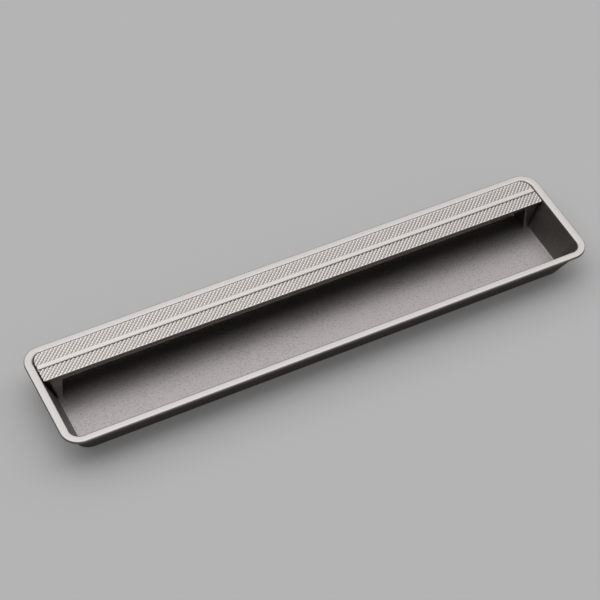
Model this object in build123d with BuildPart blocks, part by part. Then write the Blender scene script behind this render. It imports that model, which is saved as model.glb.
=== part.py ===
"""Recessed pull handle: a shallow rimmed tray with a knurled pull bar fixed across its rear half.

The handle sinks into a pocket in a door or drawer front until its rim meets the surface, and fingers
go into the tray and hook under the bar. X runs along the handle, +Y points to the side that carries
the bar and +Z points out of the door. The origin is the middle of the tray's flat underside.
All lengths are in millimetres, and all angles in degrees.
"""

import os
from math import atan2, ceil, cos, degrees, radians, sin

from build123d import *

os.makedirs("parts", exist_ok=True)

# Tray: rim, leaning walls and floor
overall_length = 200.0
overall_width = 43.0
rim_thickness = 1.0
rim_end_width = 2.8
rim_side_width = 2.5
rim_corner_radius = 6.6
rim_edge_radius = 0.35
opening_edge_radius = 0.5
recess_depth = 12.0
recess_corner_radius = 4.1
wall_lean = 4.8
wall_thickness = 1.7
floor_thickness = 1.2
floor_seam_radius = 0.3
underside_edge_radius = 0.6

# Pull bar: knurled plate, raised rib and the two legs cast with it
bar_depth = 11.8
bar_thickness = 1.6
bar_end_gap = 0.4
bar_rear_gap = 0.3
bar_facet_top = 1.6
bar_facet_foot = 0.4
bar_facet_radius = 0.5
leg_foot_width = 1.7
leg_draft = 2.0
leg_root_radius = 0.8
grip_edge_radius = 0.4
rib_width = 1.75
rib_height = 0.3
rib_edge_radius = 0.2
knurl_pitch = 1.15
knurl_depth = 0.4
knurl_angle = 43.0

# Countersunk screws that hold the legs to the end walls
screw_radius = 1.5
screw_length = 5.0
screw_head_radius = 2.75
screw_socket_flats = 2.0
screw_socket_depth = 0.9
screw_tip_chamfer = 0.3
screw_height = 6.5
screw_hole_clearance = 0.1
screw_thread_clearance = 0.05
screw_tip_clearance = 0.4

# Sizes that follow from those above
top = floor_thickness + recess_depth
rim_face = Plane.XY.offset(top)
rim_seat = Plane.XY.offset(top - rim_thickness)
opening_length = overall_length - 2 * rim_end_width
opening_width = overall_width - 2 * rim_side_width
wall_angle = degrees(atan2(wall_lean, recess_depth))
wall_spread = wall_thickness / cos(radians(wall_angle))
bar_length = opening_length - 2 * bar_end_gap
bar_rear = opening_width / 2 - bar_rear_gap
bar_front = bar_rear - bar_depth
bar_middle = bar_rear - bar_depth / 2
leg_inner_foot = opening_length / 2 - wall_lean - bar_end_gap - leg_foot_width


def recess_size(height, gap=0.0):
    """Length and width at a height of the space between the leaning walls, less a gap all round."""
    inset = gap + (top - height) * wall_lean / recess_depth
    return opening_length - 2 * inset, opening_width - 2 * inset


def leaning_block(face, length, width, corner_radius, depth):
    """A block below a plane whose four sides lean in downwards as the tray's walls do."""
    with BuildPart(mode=Mode.PRIVATE) as block:
        with BuildSketch(face):
            Rectangle(length, width)
        extrude(amount=-depth)
        draft(block.faces().filter_by(Plane.XY, reverse=True), face, -wall_angle)
        fillet(block.edges().filter_by(Plane.XY, reverse=True), corner_radius)
    return block.part


def corner_plane(side):
    """Plane that cuts a facet off the bar's front corner at one end, wide at the top, narrow at the foot."""
    foot_length, _ = recess_size(floor_thickness, bar_end_gap)
    foot = Vector(side * (foot_length / 2 - bar_facet_foot), bar_front, floor_thickness)
    upper = Vector(side * (bar_length / 2 - bar_facet_top), bar_front, top)
    across = Vector(side, 1, 0)
    return Plane(origin=foot, x_dir=across, z_dir=across.cross(upper - foot) * side)


def ridged_block(angle):
    """A block round the whole bar whose upper side is a row of V ridges running at an angle to X."""
    turn = radians(angle)
    span = bar_length * abs(sin(turn)) + bar_depth * cos(turn)
    ridges = ceil(span / knurl_pitch) + 1
    start = -ridges * knurl_pitch / 2
    outline = [(start, 0)]
    for ridge in range(ridges):
        outline.append((start + ridge * knurl_pitch, top - knurl_depth))
        outline.append((start + (ridge + 0.5) * knurl_pitch, top))
    outline += [(-start, top - knurl_depth), (-start, 0)]
    across = Plane(
        origin=(0, bar_middle, 0),
        x_dir=(-sin(turn), cos(turn), 0),
        z_dir=(cos(turn), sin(turn), 0),
    )
    with BuildPart(mode=Mode.PRIVATE) as block:
        with BuildSketch(across):
            with BuildLine():
                Polyline(*outline, close=True)
            make_face()
        extrude(amount=bar_length, both=True)
    return block.part


def screw_plane(side):
    """Plane on an end wall's outer face, facing out of it, where a leg's screw goes in."""
    height = floor_thickness + screw_height
    length, _ = recess_size(height, -wall_spread)
    _, width = recess_size(height, bar_rear_gap)
    tilt = radians(wall_angle)
    return Plane(
        origin=(side * length / 2, (bar_front + width / 2) / 2, height),
        x_dir=(0, side, 0),
        z_dir=(side * cos(tilt), 0, -sin(tilt)),
    )


# Tray, cast in one piece: leaning walls outside, a flat rim on top and the recess cut into both
with BuildPart() as tray:
    outside = recess_size(rim_seat.origin.Z, -wall_spread)
    add(leaning_block(rim_seat, *outside, recess_corner_radius + wall_thickness, rim_seat.origin.Z))
    fillet(tray.faces().sort_by(Axis.Z)[0].edges(), underside_edge_radius)
    with BuildSketch(rim_seat):
        RectangleRounded(overall_length, overall_width, rim_corner_radius)
    extrude(amount=rim_thickness)
    recess = leaning_block(rim_face, opening_length, opening_width, recess_corner_radius, recess_depth)
    add(recess, mode=Mode.SUBTRACT)
    rim_top = tray.faces().sort_by(Axis.Z)[-1]
    fillet(rim_top.outer_wire().edges(), rim_edge_radius)
    rim_top = tray.faces().sort_by(Axis.Z)[-1]
    fillet(rim_top.inner_wires()[0].edges(), opening_edge_radius)
    recess_floor = tray.faces().filter_by(Plane.XY).group_by(Axis.Z)[1][0]
    fillet(recess_floor.edges(), floor_seam_radius)
    with Locations(screw_plane(1), screw_plane(-1)):
        CounterSinkHole(
            radius=screw_radius + screw_hole_clearance,
            counter_sink_radius=screw_head_radius + screw_hole_clearance,
            counter_sink_angle=90,
            depth=2 * wall_thickness,
        )
tray.part.label = "tray"
export_step(tray.part, "parts/tray.step")

# Pull bar: one casting that fills the recess's rear half at a small gap, hollowed to leave two legs,
# knurled all over its top and then given a smooth rib along the middle
with BuildPart() as pull_bar:
    rear_radius = recess_corner_radius - bar_rear_gap
    add(leaning_block(rim_face, bar_length, 2 * bar_rear, rear_radius, recess_depth))
    split(bisect_by=Plane.XZ.offset(-bar_front), keep=Keep.BOTTOM)
    for side in (1, -1):
        split(bisect_by=corner_plane(side), keep=Keep.BOTTOM)
    facets = pull_bar.faces().filter_by(lambda face: -0.9 < face.normal_at().Y < -0.3)
    fillet(facets.edges().filter_by(Plane.XY, reverse=True), bar_facet_radius)
    with BuildSketch(Plane.XZ.offset(-bar_rear)):
        with Locations((0, floor_thickness)):
            Trapezoid(
                2 * leg_inner_foot,
                recess_depth - bar_thickness,
                90 - leg_draft,
                align=(Align.CENTER, Align.MIN),
            )
        fillet(vertices().group_by(Axis.Y)[-1], leg_root_radius)
    extrude(amount=bar_depth, mode=Mode.SUBTRACT)
    grip_outline = (
        pull_bar.edges()
        .filter_by_position(Axis.Y, bar_front, bar_front)
        .filter_by_position(Axis.Z, floor_thickness + grip_edge_radius, top - bar_thickness)
        .filter_by_position(Axis.X, -leg_inner_foot, leg_inner_foot)
    )
    fillet(grip_outline, grip_edge_radius)
    with Locations(screw_plane(1), screw_plane(-1)):
        Hole(screw_radius, depth=screw_length + screw_tip_clearance)
    for angle in (knurl_angle, -knurl_angle):
        add(ridged_block(angle), mode=Mode.INTERSECT)
    with BuildSketch(Plane.YZ):
        with Locations((bar_middle, top + rib_height)):
            Rectangle(rib_width, rib_height + bar_thickness / 2, align=(Align.CENTER, Align.MAX))
        fillet(vertices().group_by(Axis.Y)[-1], rib_edge_radius)
    extrude(amount=bar_length / 2, both=True)
pull_bar.part.label = "pull_bar"
export_step(pull_bar.part, "parts/pull_bar.step")

# One countersunk screw through each end wall into the leg inside it
for side, name in ((1, "right_leg_screw"), (-1, "left_leg_screw")):
    seat = screw_plane(side)
    shank_radius = screw_radius - screw_thread_clearance
    tip_radius = shank_radius - screw_tip_chamfer
    with BuildPart() as screw:
        with BuildSketch(Plane(seat.origin, x_dir=seat.x_dir, z_dir=seat.x_dir.cross(seat.z_dir))):
            with BuildLine():
                Polyline(
                    (0, 0),
                    (screw_head_radius, 0),
                    (shank_radius, shank_radius - screw_head_radius),
                    (shank_radius, screw_tip_chamfer - screw_length),
                    (tip_radius, -screw_length),
                    (0, -screw_length),
                    close=True,
                )
            make_face()
        revolve(axis=Axis(seat.origin, seat.z_dir))
        with BuildSketch(seat):
            RegularPolygon(screw_socket_flats / 2, 6, major_radius=False)
        extrude(amount=-screw_socket_depth, mode=Mode.SUBTRACT)
    screw.part.label = name
    export_step(screw.part, f"parts/{name}.step")
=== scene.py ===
"""Looks of a recessed pull handle: satin cast metal tray, knurled pull bar, leg screws and a studio.

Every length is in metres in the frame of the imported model: X along the handle, +Y to the side that
carries the bar, +Z out of the door, and the floor at z = 0 under the tray's flat underside.
"""

import logging
import math
from dataclasses import dataclass, field
from enum import Enum
from typing import Any, Mapping

import bmesh
import bpy
from mathutils import Matrix, Vector


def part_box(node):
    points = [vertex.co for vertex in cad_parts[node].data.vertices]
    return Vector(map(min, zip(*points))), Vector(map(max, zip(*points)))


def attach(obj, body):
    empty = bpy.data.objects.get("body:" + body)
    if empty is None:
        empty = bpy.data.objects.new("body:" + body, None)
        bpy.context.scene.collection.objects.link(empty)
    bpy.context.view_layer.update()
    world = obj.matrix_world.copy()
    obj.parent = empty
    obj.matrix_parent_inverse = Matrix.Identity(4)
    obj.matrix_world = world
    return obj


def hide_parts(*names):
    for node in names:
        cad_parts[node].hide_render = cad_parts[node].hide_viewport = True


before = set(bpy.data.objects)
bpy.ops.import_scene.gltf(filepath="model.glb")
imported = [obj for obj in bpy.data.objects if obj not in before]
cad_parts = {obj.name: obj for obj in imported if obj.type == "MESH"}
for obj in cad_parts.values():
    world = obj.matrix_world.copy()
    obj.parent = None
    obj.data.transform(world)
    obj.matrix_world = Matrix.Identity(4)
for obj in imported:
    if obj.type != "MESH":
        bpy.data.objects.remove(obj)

Colour = tuple[float, float, float]
Levels = tuple[tuple[float, float], ...]

BODY = "root"
BLACK = (0.0, 0.0, 0.0)
WHITE = (1.0, 1.0, 1.0)
NOISE_MIDDLE = 0.5
ROUND_PROFILE = 0.5
MERGE_DISTANCE = 1e-7
TOLERANCE = 1e-6

log = logging.getLogger("pull_handle")


def grey(level: float) -> Colour:
    """A grey of a level."""
    return (level, level, level)


def opaque(colour: Colour) -> tuple[float, float, float, float]:
    """A colour with full alpha, as colour sockets take it."""
    return (*colour, 1.0)


class Operation(Enum):
    """Math node operations that expressions on values use."""

    ADD = "ADD"
    SUBTRACT = "SUBTRACT"
    MULTIPLY = "MULTIPLY"
    DIVIDE = "DIVIDE"
    POWER = "POWER"
    SMALLER = "MINIMUM"
    LARGER = "MAXIMUM"
    SIZE = "ABSOLUTE"
    ANGLE = "ARCTAN2"


class Blend(Enum):
    """Ways to put one colour over another."""

    COVER = "MIX"
    TINT = "MULTIPLY"


class Combination(Enum):
    """What two closed pieces become."""

    UNITED = "UNION"
    COMMON = "INTERSECT"


class Value:
    """A number in a node tree: an output socket whose arithmetic adds Math nodes."""

    def __init__(self, graph: "Graph", socket: bpy.types.NodeSocket) -> None:
        """Wrap an output socket of a graph."""
        self.graph = graph
        self.socket = socket

    def _join(self, operation: Operation, first: Any, second: Any) -> "Value":
        """Add one Math node.

        Args:
            operation: What the node works out.
            first: A value or a plain number.
            second: A value or a plain number.

        Returns:
            The node's result.
        """
        node = self.graph.node("ShaderNodeMath", {0: first, 1: second}, operation=operation.value)
        return self.graph.value(node)

    def __add__(self, other: Any) -> "Value":
        """Sum of this value and another."""
        return self._join(Operation.ADD, self, other)

    def __radd__(self, other: Any) -> "Value":
        """Sum with a number on the left."""
        return self._join(Operation.ADD, other, self)

    def __sub__(self, other: Any) -> "Value":
        """This value less another."""
        return self._join(Operation.SUBTRACT, self, other)

    def __rsub__(self, other: Any) -> "Value":
        """A number less this value."""
        return self._join(Operation.SUBTRACT, other, self)

    def __mul__(self, other: Any) -> "Value":
        """Product of this value and another."""
        return self._join(Operation.MULTIPLY, self, other)

    def __rmul__(self, other: Any) -> "Value":
        """Product with a number on the left."""
        return self._join(Operation.MULTIPLY, other, self)

    def __truediv__(self, other: Any) -> "Value":
        """This value over another."""
        return self._join(Operation.DIVIDE, self, other)

    def __rtruediv__(self, other: Any) -> "Value":
        """A number over this value."""
        return self._join(Operation.DIVIDE, other, self)

    def __pow__(self, other: Any) -> "Value":
        """This value to a power."""
        return self._join(Operation.POWER, self, other)

    def __abs__(self) -> "Value":
        """This value without its sign."""
        return self._join(Operation.SIZE, self, 0.0)

    def at_least(self, other: Any) -> "Value":
        """The larger of this value and another."""
        return self._join(Operation.LARGER, self, other)

    def at_most(self, other: Any) -> "Value":
        """The smaller of this value and another."""
        return self._join(Operation.SMALLER, self, other)

    def angle_from(self, other: Any) -> "Value":
        """Angle in radians whose sine goes with this value and whose cosine with the other."""
        return self._join(Operation.ANGLE, self, other)


class Graph:
    """The node tree of a material or of the world."""

    def __init__(self, tree: bpy.types.NodeTree) -> None:
        """Take over a tree and empty it."""
        self.tree = tree
        self.tree.nodes.clear()

    def node(
        self, kind: str, sockets: Mapping[str | int, Any] | None = None, **settings: Any
    ) -> bpy.types.Node:
        """Add any node.

        Args:
            kind: The node's type name.
            sockets: What its input sockets get, by name or index: plain content, a value or an output.
            settings: Its properties, set first, and "stops" as (place, colour) pairs of a ramp.

        Returns:
            The new node.
        """
        made = self.tree.nodes.new(kind)
        for name, setting in settings.items():
            if name == "stops":
                self._set_stops(made.color_ramp, setting)
            else:
                setattr(made, name, setting)
        for name, content in (sockets or {}).items():
            if isinstance(content, Value):
                content = content.socket
            if isinstance(content, bpy.types.NodeSocket):
                self.tree.links.new(content, made.inputs[name])
            else:
                made.inputs[name].default_value = content
        return made

    @staticmethod
    def _set_stops(ramp: bpy.types.ColorRamp, stops: list[tuple[float, Colour]]) -> None:
        """Give a ramp its stops, of which the missing ones are first added in its middle.

        Args:
            ramp: A ramp fresh from its node, with two stops.
            stops: Places from 0 to 1, each with its colour.
        """
        while len(ramp.elements) < len(stops):
            ramp.elements.new(0.5)
        for element, (place, colour) in zip(ramp.elements, stops):
            element.position = place
            element.color = opaque(colour)

    def value(self, node: bpy.types.Node, output: str | int = 0) -> Value:
        """Wrap one output of a node for arithmetic."""
        return Value(self, node.outputs[output])

    def blend(self, share: Any, under: Any, over: Any, way: Blend) -> bpy.types.NodeSocket:
        """Put one colour over another, with the Mix node's sockets for colours, 6 and 7 in and 2 out.

        Args:
            share: How much of the upper colour shows, from 0 to 1.
            under: The lower colour or an output with it.
            over: The upper colour or an output with it.
            way: How the two go together.

        Returns:
            The output with the result.
        """
        sockets = {0: share, 6: under, 7: over}
        return self.node("ShaderNodeMix", sockets, data_type="RGBA", blend_type=way.value).outputs[2]

    def mixed(self, share: Any, first: bpy.types.Node, second: bpy.types.Node) -> bpy.types.Node:
        """Mix two shaders, with a share of the second."""
        return self.node("ShaderNodeMixShader", {0: share, 1: first.outputs[0], 2: second.outputs[0]})


@dataclass(frozen=True)
class SatinMetal:
    """A satin finish on metal, the same all over.

    Attributes:
        name: The material's name.
        colour: The bare metal's colour.
        roughness: The mean roughness.
        edge_tint: Level of the reflection at a grazing angle.
        mottle: How strongly the grain shows in the colour.
        roughness_spread: How far the roughness varies in clouds.
        grain_per_metre: Grains in a metre.
        cloud_per_metre: Clouds in a metre.
        grain_share: Share of the grain in the mottle, and the clouds have the rest.
        grain_height: Height of the grain.
        noise_detail: Finer layers in the noise.
        noise_roughness: Strength of each layer, as a share of the one before.
    """

    name: str
    colour: Colour
    roughness: float
    edge_tint: float = 0.6
    mottle: float = 0.12
    roughness_spread: float = 0.08
    grain_per_metre: float = 1500.0
    cloud_per_metre: float = 60.0
    grain_share: float = 0.9
    grain_height: float = 0.000008
    noise_detail: float = 2.0
    noise_roughness: float = 0.6

    def material(self) -> bpy.types.Material:
        """Build the finish as nodes.

        Returns:
            A material that reads Object coordinates only.
        """
        made = bpy.data.materials.new(self.name)
        made.use_nodes = True
        graph = Graph(made.node_tree)
        place = graph.node("ShaderNodeTexCoord").outputs["Object"]
        grain = self._noise(graph, place, self.grain_per_metre)
        cloud = self._noise(graph, place, self.cloud_per_metre)
        mottle = grain * self.grain_share + cloud * (1 - self.grain_share) - NOISE_MIDDLE
        share = 1 + mottle * self._mottle(graph, place)
        metal = graph.blend(share, opaque(BLACK), opaque(self.colour), Blend.COVER)
        # painted shade: the metal's colour is multiplied by a darker, warmer colour on the walls and the
        # floor below the top faces
        colour = graph.blend(1.0, metal, self._painted_shade(graph, place), Blend.TINT)
        height = self._height(graph, place, grain)
        bump = graph.node("ShaderNodeBump", {"Strength": 1.0, "Distance": 1.0, "Height": height})
        spread = (cloud - NOISE_MIDDLE) * self.roughness_spread
        shader = graph.node(
            "ShaderNodeBsdfPrincipled",
            {
                "Base Color": colour,
                "Metallic": self._metallic(graph, place),
                "Roughness": self._roughness(graph, place) + spread,
                "Specular Tint": opaque(grey(self.edge_tint)),
                "Normal": bump.outputs["Normal"],
            },
        )
        graph.node("ShaderNodeOutputMaterial", {"Surface": shader.outputs["BSDF"]})
        return made

    def _painted_shade(self, graph: Graph, place: bpy.types.NodeSocket) -> Any:
        """Painted shade that the colour is multiplied by at a place, which is white, so none, on a plain
        finish.
        """
        return opaque(WHITE)

    def _mottle(self, graph: Graph, place: bpy.types.NodeSocket) -> Any:
        """How strongly the grain shows in the colour at a place."""
        return self.mottle

    def _metallic(self, graph: Graph, place: bpy.types.NodeSocket) -> Any:
        """Share of bare metal at a place, all of it on a plain finish."""
        return 1.0

    def _roughness(self, graph: Graph, place: bpy.types.NodeSocket) -> Any:
        """Roughness at a place, the same all over on a plain finish."""
        return self.roughness

    def _height(self, graph: Graph, place: bpy.types.NodeSocket, grain: Value) -> Value:
        """Height of the surface's relief in metres, which is the grain alone on a plain finish."""
        return grain * self.grain_height

    def _noise(self, graph: Graph, place: bpy.types.NodeSocket, scale: float) -> Value:
        """Fractal noise from 0 to 1.

        Args:
            graph: The tree that gets the node.
            place: The coordinates.
            scale: Features in a metre.

        Returns:
            The noise.
        """
        sockets = {
            "Vector": place,
            "Scale": scale,
            "Detail": self.noise_detail,
            "Roughness": self.noise_roughness,
        }
        return graph.value(graph.node("ShaderNodeTexNoise", sockets), "Fac")


@dataclass(frozen=True)
class CastMetal(SatinMetal):
    """A casting's finish: rubbed to satin on its top faces, left as blasted below them, where painted
    shade darkens and warms its colour.

    Attributes:
        top_level: Height above which the metal is rubbed.
        wall_level: Height below which it has the floor's painted shade.
        blend: Half the height over which one goes into the next.
        wall_shade: Painted shade on the walls, which the colour is multiplied by.
        floor_shade: Painted shade on the floor, which the colour is multiplied by.
        blasted_roughness: Roughness of the blasted metal.
        blasted_grain: How many times higher its grain is.
        blasted_metallic: Its share of bare metal.
        blasted_mottle: How strongly the grain shows in its colour.
    """

    top_level: float = 0.0127
    wall_level: float = 0.0018
    blend: float = 0.0003
    wall_shade: Colour = (0.57, 0.553, 0.523)
    floor_shade: Colour = (0.68, 0.668, 0.672)
    blasted_roughness: float = 0.4
    blasted_grain: float = 6.0
    blasted_metallic: float = 0.92
    blasted_mottle: float = 1.6

    def _by_height(
        self, graph: Graph, place: bpy.types.NodeSocket, floor: Colour, wall: Colour, top: Colour
    ) -> bpy.types.NodeSocket:
        """A colour for the floor, one for the walls and one for the top faces.

        Args:
            graph: The material's tree.
            place: The Object coordinates.
            floor: The colour on the floor.
            wall: The colour on the walls.
            top: The colour on the top faces.

        Returns:
            The colour at this height.
        """
        span = 2 * self.top_level
        parts = graph.node("ShaderNodeSeparateXYZ", {0: place})
        places = [
            (self.wall_level - self.blend, floor),
            (self.wall_level + self.blend, wall),
            (self.top_level - self.blend, wall),
            (self.top_level + self.blend, top),
        ]
        stops = [(at / span, colour) for at, colour in places]
        ramp = graph.node("ShaderNodeValToRGB", {0: graph.value(parts, "Z") / span}, stops=stops)
        return ramp.outputs["Color"]

    def _blasted(self, graph: Graph, place: bpy.types.NodeSocket) -> Value:
        """Share of blasted metal at a place: none on the top faces."""
        return Value(graph, self._by_height(graph, place, WHITE, WHITE, BLACK))

    def _painted_shade(self, graph: Graph, place: bpy.types.NodeSocket) -> bpy.types.NodeSocket:
        """Painted shade that the colour is multiplied by at a place: darker and warmer below the top
        faces.
        """
        return self._by_height(graph, place, self.floor_shade, self.wall_shade, WHITE)

    def _mottle(self, graph: Graph, place: bpy.types.NodeSocket) -> Value:
        """How strongly the grain shows in the colour at a place: more below the top faces."""
        return self.mottle + self._blasted(graph, place) * (self.blasted_mottle - self.mottle)

    def _metallic(self, graph: Graph, place: bpy.types.NodeSocket) -> Value:
        """Share of bare metal at a place: less below the top faces."""
        return 1 - self._blasted(graph, place) * (1 - self.blasted_metallic)

    def _roughness(self, graph: Graph, place: bpy.types.NodeSocket) -> Value:
        """Roughness at a place: another one below the top faces."""
        return self.roughness + self._blasted(graph, place) * (self.blasted_roughness - self.roughness)

    def _height(self, graph: Graph, place: bpy.types.NodeSocket, grain: Value) -> Value:
        """Height of the relief in metres: a higher grain where the metal is blasted."""
        times = 1 + self._blasted(graph, place) * (self.blasted_grain - 1)
        return grain * self.grain_height * times


@dataclass(frozen=True)
class CrownedRim(CastMetal):
    """The tray's finish: a casting's, with the rim's flat face rubbed very slightly round.

    Attributes:
        half_length: Half the rim's outer length.
        half_width: Half the rim's outer width.
        corner_radius: Outer radius of the rim's corners.
        rim_width: Width of its flat face.
        crown_radius: Radius to which the flat face is rubbed.
    """

    half_length: float = 0.1
    half_width: float = 0.0215
    corner_radius: float = 0.0066
    rim_width: float = 0.0026
    crown_radius: float = 0.022

    def _height(self, graph: Graph, place: bpy.types.NodeSocket, grain: Value) -> Value:
        """Height of the relief in metres: the casting's, less what is rubbed off beside the rim's middle.

        Args:
            graph: The material's tree.
            place: The Object coordinates.
            grain: The grain's noise.

        Returns:
            The height.
        """
        parts = graph.node("ShaderNodeSeparateXYZ", {0: place})
        along = abs(graph.value(parts, "X")) - (self.half_length - self.corner_radius)
        across = abs(graph.value(parts, "Y")) - (self.half_width - self.corner_radius)
        reach = (along.at_least(0) ** 2 + across.at_least(0) ** 2) ** 0.5
        middle = self.corner_radius - self.rim_width / 2
        aside = abs(reach - middle).at_most(self.rim_width / 2)
        crown = aside ** 2 / (2 * self.crown_radius)
        return super()._height(graph, place, grain) - crown


def dress(piece: bpy.types.Object, material: bpy.types.Material) -> bpy.types.Object:
    """Give every material slot of a piece one finish.

    Args:
        piece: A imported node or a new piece.
        material: The finish.

    Returns:
        The piece.
    """
    if not piece.material_slots:
        piece.data.materials.append(material)
    for slot in piece.material_slots:
        slot.material = material
    return piece


def new_piece(name: str, shape: bmesh.types.BMesh) -> bpy.types.Object:
    """Turn a bmesh into an object at the origin.

    Args:
        name: The object's name.
        shape: The mesh, which is freed.

    Returns:
        The new object.
    """
    mesh = bpy.data.meshes.new(name)
    shape.to_mesh(mesh)
    shape.free()
    made = bpy.data.objects.new(name, mesh)
    bpy.context.scene.collection.objects.link(made)
    return made


def combined(
    first: bpy.types.Object, second: bpy.types.Object, combination: Combination
) -> bpy.types.Object:
    """Make one piece of two closed ones.

    Args:
        first: A piece, which is used up.
        second: A piece, which is used up.
        combination: What they become.

    Returns:
        The new piece.
    """
    modifier = first.modifiers.new("join", "BOOLEAN")
    modifier.operation = combination.value
    modifier.solver = "MANIFOLD"
    modifier.object = second
    evaluated = first.evaluated_get(bpy.context.evaluated_depsgraph_get())
    mesh = bpy.data.meshes.new_from_object(evaluated)
    for used in (first, second):
        bpy.data.objects.remove(used)
    made = bpy.data.objects.new(mesh.name, mesh)
    bpy.context.scene.collection.objects.link(made)
    return made


def all_parts(shape: bmesh.types.BMesh) -> list[Any]:
    """All points, edges and faces of a mesh, as operators take them."""
    return shape.verts[:] + shape.edges[:] + shape.faces[:]


def edges_of(parts: list[Any]) -> list[bmesh.types.BMEdge]:
    """The edges among an operator's results."""
    return [part for part in parts if isinstance(part, bmesh.types.BMEdge)]


def points_of(parts: list[Any]) -> list[bmesh.types.BMVert]:
    """The points among an operator's results."""
    return [part for part in parts if isinstance(part, bmesh.types.BMVert)]


def round_off(
    shape: bmesh.types.BMesh, edges: list[bmesh.types.BMEdge], radius: float, segments: int
) -> None:
    """Round some edges of a mesh.

    Args:
        shape: The mesh.
        edges: The edges.
        radius: Distance from an edge to where its rounding starts.
        segments: Faces across each rounding.
    """
    bmesh.ops.bevel(
        shape,
        geom=edges,
        offset=radius,
        segments=segments,
        profile=ROUND_PROFILE,
        affect="EDGES",
        material=-1,
    )


@dataclass
class Tray:
    """The cast tray: rim, leaning walls and floor."""

    node: str = "tray"
    finish: SatinMetal = field(
        default_factory=lambda: CrownedRim("satin_tray", colour=(0.592, 0.563, 0.551), roughness=0.42)
    )

    def build(self) -> list[bpy.types.Object]:
        """Dress the tray's solid."""
        return [dress(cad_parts[self.node], self.finish.material())]


@dataclass
class Knurl:
    """Two crossing families of grooves that leave rows of rounded diamond beads.

    Attributes:
        pitch: Distance between neighbouring grooves of a family.
        slant: Angle of both families to X, one each way.
        depth: Depth of the first family's grooves.
        second_share: Depth of the second family's grooves as a share of the first's.
        roundness: Power by which a cut deepens from a bead's top to the groove, larger for flatter tops.
        steps: Mesh points between a crest and a groove.
    """

    pitch: float = 0.00106
    slant: float = math.radians(43.0)
    depth: float = 0.00043
    second_share: float = 0.2
    roundness: float = 2.8
    steps: int = 3

    @property
    def column_step(self) -> float:
        """Distance along X between neighbouring mesh points of a row."""
        return self.pitch / (2 * self.steps) / math.sin(self.slant)

    @property
    def row_step(self) -> float:
        """Distance along Y between neighbouring rows of mesh points."""
        return self.pitch / (4 * self.steps) / math.cos(self.slant)

    def drop(self, x: float, y: float) -> float:
        """How far the surface lies below the beads' tops.

        Args:
            x: Place along the bar, from the lattice's centre.
            y: Place across the bar, from the lattice's centre.

        Returns:
            The drop in metres.
        """
        cuts = []
        for way, share in ((1, 1.0), (-1, self.second_share)):
            across = (math.cos(self.slant) * y - way * math.sin(self.slant) * x) / self.pitch
            from_crest = abs(2 * (across - math.floor(across)) - 1)
            cuts.append(share * self.depth * from_crest**self.roundness)
        return max(cuts)


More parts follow.
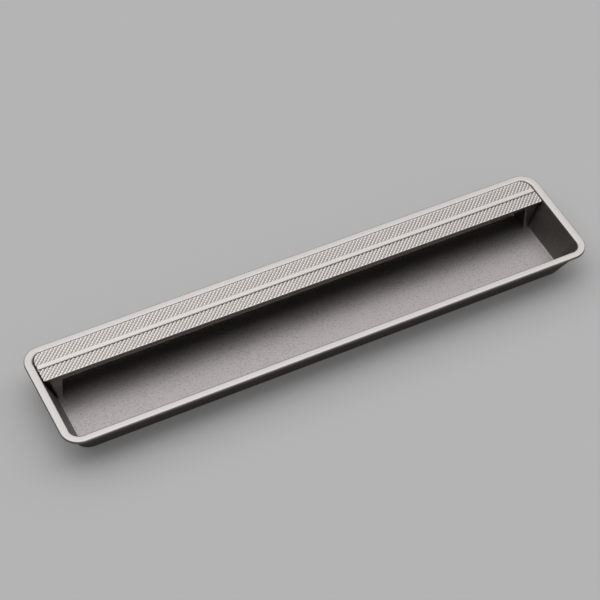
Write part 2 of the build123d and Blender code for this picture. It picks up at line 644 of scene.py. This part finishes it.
@dataclass
class PullBar:
    """The pull bar: its solid's legs under a plate with a finer knurl and the smooth rib.

    Attributes:
        node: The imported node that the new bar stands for.
        solid_rib_height: Height of the solid's rib, which stands on the level of the beads' tops.
        rib_width: Width of the new rib.
        rib_shift: How far it lies behind the solid's middle.
        rib_height: Height of the new rib.
        rib_end: Length over which it goes down at each end.
        rib_edge_radius: Rounding of its edges.
        rib_edge_segments: Faces across that rounding.
        rib_border: Width of the strip along its flat's outline, which keeps the flat's shading even.
        groove_depth: Depth of the groove along the rib's front.
        groove_width: Half the width of that groove.
        cut_depth: Where the solid is cut off, below the beads' tops.
        plate_depth: Where the new plate starts, below the beads' tops and below that cut.
        rear_reach: How much further back than the solid the plate goes.
        end_inset: How much shorter than the solid it is at each end.
        rear_corner_radius: Radius of its rear corners.
        front_corner_radius: Radius of its front corners.
        corner_segments: Faces across each corner.
        edge_radius: Rounding of its top along the ends and the rear.
        bevel_width: Width of the bevel along its front.
        bevel_slope: Drop of that bevel for its width.
        fade_width: Distance from its outline over which the knurl becomes fully deep.
        edge_share: Share of the knurl's depth at its outline.
        wall_slope: How far the tray's walls lean for their height.
        margin: How far the block that cuts the top reaches past the bar.
        sharp_angle: Angle between faces above which their edge shows as sharp.
        knurl: The knurl.
        finish: The finish.
        length: The plate's length.
        front: Place of the front along Y.
        rear: Place of the solid's rear along Y.
        top: Height of the beads' tops.
    """

    node: str = "pull_bar"
    solid_rib_height: float = 0.0003
    rib_width: float = 0.00175
    rib_shift: float = 0.0002
    rib_height: float = 0.0002
    rib_end: float = 0.0003
    rib_edge_radius: float = 0.00012
    rib_edge_segments: int = 2
    rib_border: float = 0.00003
    groove_depth: float = 0.00035
    groove_width: float = 0.00025
    cut_depth: float = 0.0006
    plate_depth: float = 0.0009
    rear_reach: float = 0.00025
    end_inset: float = 0.0002
    rear_corner_radius: float = 0.0038
    front_corner_radius: float = 0.0004
    corner_segments: int = 8
    edge_radius: float = 0.0001
    bevel_width: float = 0.00035
    bevel_slope: float = 0.35
    fade_width: float = 0.0005
    edge_share: float = 0.45
    wall_slope: float = 4.8 / 12
    margin: float = 0.0006
    sharp_angle: float = math.radians(38)
    knurl: Knurl = field(default_factory=Knurl)
    finish: SatinMetal = field(
        default_factory=lambda: CastMetal(
            "satin_bar",
            colour=(0.613, 0.578, 0.559),
            roughness=0.24,
            top_level=0.0129,
            blend=0.0002,
            # painted shade: this darker colour goes on the bar's face, underside, legs and the bottoms of
            # the knurl's grooves, below top_level
            wall_shade=(0.47, 0.453, 0.428),
        )
    )
    length: float = field(init=False)
    front: float = field(init=False)
    rear: float = field(init=False)
    top: float = field(init=False)

    def __post_init__(self) -> None:
        """Take the bar's place and size from its solid."""
        low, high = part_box(self.node)
        self.length = high.x - low.x - 2 * self.end_inset
        self.front = low.y
        self.rear = high.y
        self.top = high.z - self.solid_rib_height

    @property
    def middle(self) -> float:
        """Place along Y of the solid's middle."""
        return (self.front + self.rear) / 2

    @property
    def half_width(self) -> float:
        """Half the solid's width."""
        return (self.rear - self.front) / 2

    def build(self) -> list[bpy.types.Object]:
        """Replace the bar's solid by one whose top has the fine knurl.

        Returns:
            The new bar.
        """
        body = new_piece("bar_body", self._body())
        body = combined(body, new_piece("bar_plate", self._plate()), Combination.UNITED)
        bar = combined(body, new_piece("bar_block", self._block()), Combination.COMMON)
        bar.name = bar.data.name = "knurled_bar"
        bar.data.shade_smooth()
        bar.data.set_sharp_from_angle(angle=self.sharp_angle)
        dress(bar, self.finish.material())
        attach(bar, BODY)
        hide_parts(self.node)
        return [bar]

    def _body(self) -> bmesh.types.BMesh:
        """The solid below its knurl, with a flat top.

        Returns:
            A closed mesh.
        """
        shape = bmesh.new()
        shape.from_mesh(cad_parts[self.node].data)
        bmesh.ops.remove_doubles(shape, verts=shape.verts, dist=MERGE_DISTANCE)
        cut = bmesh.ops.bisect_plane(
            shape,
            geom=all_parts(shape),
            plane_co=(0, 0, self.top - self.cut_depth),
            plane_no=(0, 0, 1),
            clear_outer=True,
        )
        bmesh.ops.holes_fill(shape, edges=edges_of(cut["geom_cut"]))
        bmesh.ops.recalc_face_normals(shape, faces=shape.faces)
        return shape

    def _plate(self) -> bmesh.types.BMesh:
        """The bar's top plate, carried on upwards past the rib, with sides that lean as the walls do.

        Returns:
            A closed mesh with rounded corners.
        """
        shape = bmesh.new()
        bmesh.ops.create_cube(shape, size=1.0)
        for point in shape.verts:
            rise = self.rib_height + self.margin if point.co.z > 0 else -self.plate_depth
            lean = rise * self.wall_slope
            point.co.x = math.copysign(self.length / 2 + lean, point.co.x)
            point.co.y = self.rear + self.rear_reach + lean if point.co.y > 0 else self.front
            point.co.z = self.top + rise
        for is_rear, radius in ((True, self.rear_corner_radius), (False, self.front_corner_radius)):
            corners = [
                edge
                for edge in shape.edges
                if abs(edge.verts[0].co.z - edge.verts[1].co.z) > self.plate_depth / 2
                and (edge.verts[0].co.y > self.middle) == is_rear
            ]
            round_off(shape, corners, radius, self.corner_segments)
        bmesh.ops.recalc_face_normals(shape, faces=shape.faces)
        return shape

    def _inset(self, x: float, y: float) -> float:
        """How far inside the plate's ends and rear edge a place lies, with their round corners.

        Args:
            x: Place along the bar.
            y: Place across the bar, from its middle.

        Returns:
            The distance in metres, below 0 outside the plate.
        """
        along = abs(x) - self.length / 2 + self.rear_corner_radius
        across = y - self.half_width - self.rear_reach + self.rear_corner_radius
        reach = math.hypot(max(along, 0), max(across, 0)) + min(max(along, across), 0)
        return self.rear_corner_radius - reach

    def _drop(self, x: float, y: float) -> float:
        """How far the plate's top lies below the beads' tops.

        The knurl fades towards the outline and ends in the bevel at the front. The rounding of the
        ends and the rear, and the groove along the rib's front, go below both.

        Args:
            x: Place along the bar.
            y: Place across the bar, from its middle.

        Returns:
            The drop in metres.
        """
        inset = self._inset(x, y)
        from_front = y + self.half_width
        inside = max(min(inset, from_front), 0)
        share = min(self.edge_share + (1 - self.edge_share) * inside / self.fade_width, 1)
        bevel = self.bevel_slope * max(self.bevel_width - from_front, 0)
        short = min(max(self.edge_radius - inset, 0), self.edge_radius)
        rounding = self.edge_radius - math.sqrt(self.edge_radius**2 - short**2)
        before_rib = self.rib_shift - self.rib_width / 2 - y
        groove = self.groove_depth * max(1 - abs(before_rib) / self.groove_width, 0)
        return max(self.knurl.drop(x, y) * share, bevel) + rounding + groove

    def _block(self) -> bmesh.types.BMesh:
        """A block that reaches past the bar all round, with the knurl and the rib on its upper side.

        Returns:
            A closed mesh.
        """
        columns = math.ceil((self.length / 2 + self.margin) / self.knurl.column_step)
        rows = math.ceil((self.half_width + self.margin) / self.knurl.row_step)
        shape = bmesh.new()
        bmesh.ops.create_grid(shape, x_segments=2 * columns, y_segments=2 * rows, size=1.0)
        for point in shape.verts:
            row = round(point.co.y * rows)
            point.co.x = (point.co.x * columns + (row % 2) / 2) * self.knurl.column_step
            point.co.y = row * self.knurl.row_step
            point.co.z = -self._drop(point.co.x, point.co.y)
        bmesh.ops.triangulate(shape, faces=shape.faces, quad_method="SHORT_EDGE")
        self._raise_rib(shape)
        outline = [edge for edge in shape.edges if edge.is_boundary]
        skirt = bmesh.ops.extrude_edge_only(shape, edges=outline)["geom"]
        points = points_of(skirt)
        bmesh.ops.scale(shape, vec=(1, 1, 0), verts=points)
        bmesh.ops.translate(shape, vec=(0, 0, -self.top - self.margin), verts=points)
        bmesh.ops.holes_fill(shape, edges=edges_of(skirt))
        bmesh.ops.translate(shape, vec=(0, self.middle, self.top), verts=shape.verts)
        bmesh.ops.recalc_face_normals(shape, faces=shape.faces)
        return shape

    def _raise_rib(self, shape: bmesh.types.BMesh) -> None:
        """Cut the knurl away along the middle and raise the smooth rib there.

        Args:
            shape: The knurled surface, with its beads' tops at z = 0 and the solid's middle at y = 0.
        """
        half = self.rib_width / 2
        for side in (1, -1):
            bmesh.ops.bisect_plane(
                shape,
                geom=all_parts(shape),
                plane_co=(0, self.rib_shift + side * half, 0),
                plane_no=(0, 1, 0),
                dist=TOLERANCE,
            )
        knurled = [
            face for face in shape.faces if abs(face.calc_center_median().y - self.rib_shift) < half
        ]
        bmesh.ops.delete(shape, geom=knurled, context="FACES")
        borders = [
            edge
            for edge in shape.edges
            if edge.is_boundary
            and all(abs(abs(end.co.y - self.rib_shift) - half) < TOLERANCE for end in edge.verts)
        ]
        raised = bmesh.ops.extrude_edge_only(shape, edges=borders)["geom"]
        for point in points_of(raised):
            beyond = max(abs(point.co.x) - self.length / 2 + self.rib_end, 0) / self.rib_end
            point.co.z = self.rib_height * (1 - beyond**2)
        crests = edges_of(raised)
        bmesh.ops.bridge_loops(shape, edges=crests)
        round_off(shape, crests, self.rib_edge_radius, self.rib_edge_segments)
        flat = [
            face
            for face in shape.faces
            if all(point.co.z > self.rib_height - TOLERANCE for point in face.verts)
        ]
        bmesh.ops.inset_region(shape, faces=flat, thickness=self.rib_border)


@dataclass
class LegScrews:
    """The two countersunk screws that hold the bar's legs."""

    nodes: tuple[str, str] = ("left_leg_screw", "right_leg_screw")
    finish: SatinMetal = field(
        default_factory=lambda: SatinMetal("turned_screw", colour=(0.5, 0.5, 0.5), roughness=0.3)
    )

    def build(self) -> list[bpy.types.Object]:
        """Dress both screws."""
        material = self.finish.material()
        return [dress(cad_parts[name], material) for name in self.nodes]


@dataclass
class Viewpoint:
    """The camera, found by fitting a perspective camera to the object's measured edges.

    Attributes:
        heading: Angle of the view to +Y, towards +X.
        dip: Angle of the view below the level.
        roll: Turn about the view.
        distance: Distance to the point in the picture's middle.
        aim: That point.
        lens_mm: Focal length.
        sensor_mm: Width of the sensor.
        nearest: Distance at which the view starts.
        furthest: Distance at which it ends.
    """

    heading: float = math.radians(29.7273)
    dip: float = math.radians(49.6478)
    roll: float = math.radians(-3.4917)
    distance: float = 0.68986
    aim: tuple[float, float, float] = (-0.0040, 0.00225, 0.01317)
    lens_mm: float = 120.53
    sensor_mm: float = 36.0
    nearest: float = 0.05
    furthest: float = 20.0

    def build(self) -> None:
        """Place the camera."""
        forward = Vector(
            (
                math.sin(self.heading) * math.cos(self.dip),
                math.cos(self.heading) * math.cos(self.dip),
                -math.sin(self.dip),
            )
        )
        level = Vector((math.cos(self.heading), -math.sin(self.heading), 0.0))
        upright = level.cross(forward)
        right = level * math.cos(self.roll) - upright * math.sin(self.roll)
        up = right.cross(forward)
        turn = Matrix((right, up, -forward)).transposed().to_4x4()
        data = bpy.data.cameras.new("camera")
        data.lens = self.lens_mm
        data.sensor_width = self.sensor_mm
        data.clip_start = self.nearest
        data.clip_end = self.furthest
        camera = bpy.data.objects.new("camera", data)
        camera.matrix_world = Matrix.Translation(Vector(self.aim) - forward * self.distance) @ turn
        bpy.context.scene.collection.objects.link(camera)
        bpy.context.scene.camera = camera


@dataclass
class Studio:
    """A plain pale floor under one wide soft light from above and behind.

    Attributes:
        floor_side: Side of the floor's square.
        floor_colour: Colour of the floor.
        floor_level: Level towards which the floor's shadow is lifted.
        shadow_lift: Share by which it is lifted, for the camera and for metal.
        shown_in_metal: Share of the floor's level that metal reflects.
        across: Angles in degrees about the handle's length, from +Y over the top, with the light's levels.
        along: The same along it, from +X over the top.
        highest_level: The highest level that those two can hold.
        strength: What the product of the two is multiplied by.
    """

    floor_side: float = 8.0
    floor_colour: Colour = (0.545, 0.545, 0.545)
    floor_level: float = 0.45
    shadow_lift: float = 0.15
    shown_in_metal: float = 0.45
    across: Levels = (
        (24, 0.03),
        (36, 0.85),
        (56, 0.95),
        (70, 1.15),
        (82, 1.38),
        (98, 1.32),
        (107, 0.5),
        (116, 0.2),
    )
    along: Levels = (
        (10, 0.1),
        (26, 0.6),
        (42, 0.78),
        (60, 0.86),
        (78, 1.0),
        (95, 1.1),
        (120, 1.0),
        (140, 0.5),
        (158, 0.15),
    )
    highest_level: float = 2.0
    strength: float = 1.7

    def build(self) -> list[bpy.types.Object]:
        """Make the floor and the light.

        Returns:
            The floor.
        """
        floor = self._floor()
        self._world()
        bpy.context.scene.view_settings.view_transform = "Standard"
        return [floor]

    def _floor(self) -> bpy.types.Object:
        """Lay the floor at z = 0, which metal sees darker than the camera does.

        Returns:
            The floor.
        """
        shape = bmesh.new()
        bmesh.ops.create_grid(shape, x_segments=1, y_segments=1, size=self.floor_side / 2)
        floor = new_piece("floor", shape)
        material = bpy.data.materials.new("matt_floor")
        material.use_nodes = True
        graph = Graph(material.node_tree)
        lit = graph.node("ShaderNodeBsdfDiffuse", {"Color": opaque(self.floor_colour)})
        glow = graph.node("ShaderNodeEmission", {"Color": opaque(grey(self.floor_level))})
        dark = graph.node("ShaderNodeEmission", {"Color": opaque(BLACK)})
        path = graph.node("ShaderNodeLightPath")
        glossy = graph.value(path, "Is Glossy Ray")
        seen = (graph.value(path, "Is Camera Ray") + glossy).at_most(1)
        lifted = graph.mixed(seen * self.shadow_lift, lit, glow)
        shown = graph.mixed(glossy * (1 - self.shown_in_metal), lifted, dark)
        graph.node("ShaderNodeOutputMaterial", {"Surface": shown.outputs["Shader"]})
        dress(floor, material)
        return floor

    def _world(self) -> None:
        """Light the room from above, with a level for each angle across and along the handle."""
        world = bpy.data.worlds.new("studio")
        bpy.context.scene.world = world
        world.use_nodes = True
        graph = Graph(world.node_tree)
        direction = graph.node("ShaderNodeTexCoord").outputs["Generated"]
        parts = graph.node("ShaderNodeSeparateXYZ", {0: direction})
        x, y, z = (graph.value(parts, axis) for axis in "XYZ")
        across = self._profile(graph, z.angle_from(y), self.across)
        along = self._profile(graph, z.angle_from(x), self.along)
        shader = graph.node("ShaderNodeBackground", {"Strength": across * along * self.strength})
        graph.node("ShaderNodeOutputWorld", {"Surface": shader.outputs["Background"]})

    def _profile(self, graph: Graph, angle: Value, levels: Levels) -> Value:
        """Level of the light at an angle.

        Args:
            graph: The world's tree.
            angle: The angle in radians, from one horizon to the other.
            levels: Angles in degrees, each with its level.

        Returns:
            The level.
        """
        stops = [(math.radians(at) / math.pi, grey(level / self.highest_level)) for at, level in levels]
        ramp = graph.node("ShaderNodeValToRGB", {0: angle / math.pi}, stops=stops)
        return graph.value(ramp, "Color") * self.highest_level


def main() -> None:
    """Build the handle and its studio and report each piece."""
    logging.basicConfig(level=logging.INFO, format="%(message)s")
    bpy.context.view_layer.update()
    for assembly in (Tray(), PullBar(), LegScrews(), Studio()):
        for piece in assembly.build():
            finish = piece.material_slots[0].name
            log.info("%s: %d faces, finish %s", piece.name, len(piece.data.polygons), finish)
    Viewpoint().build()


if __name__ == "__main__":
    main()
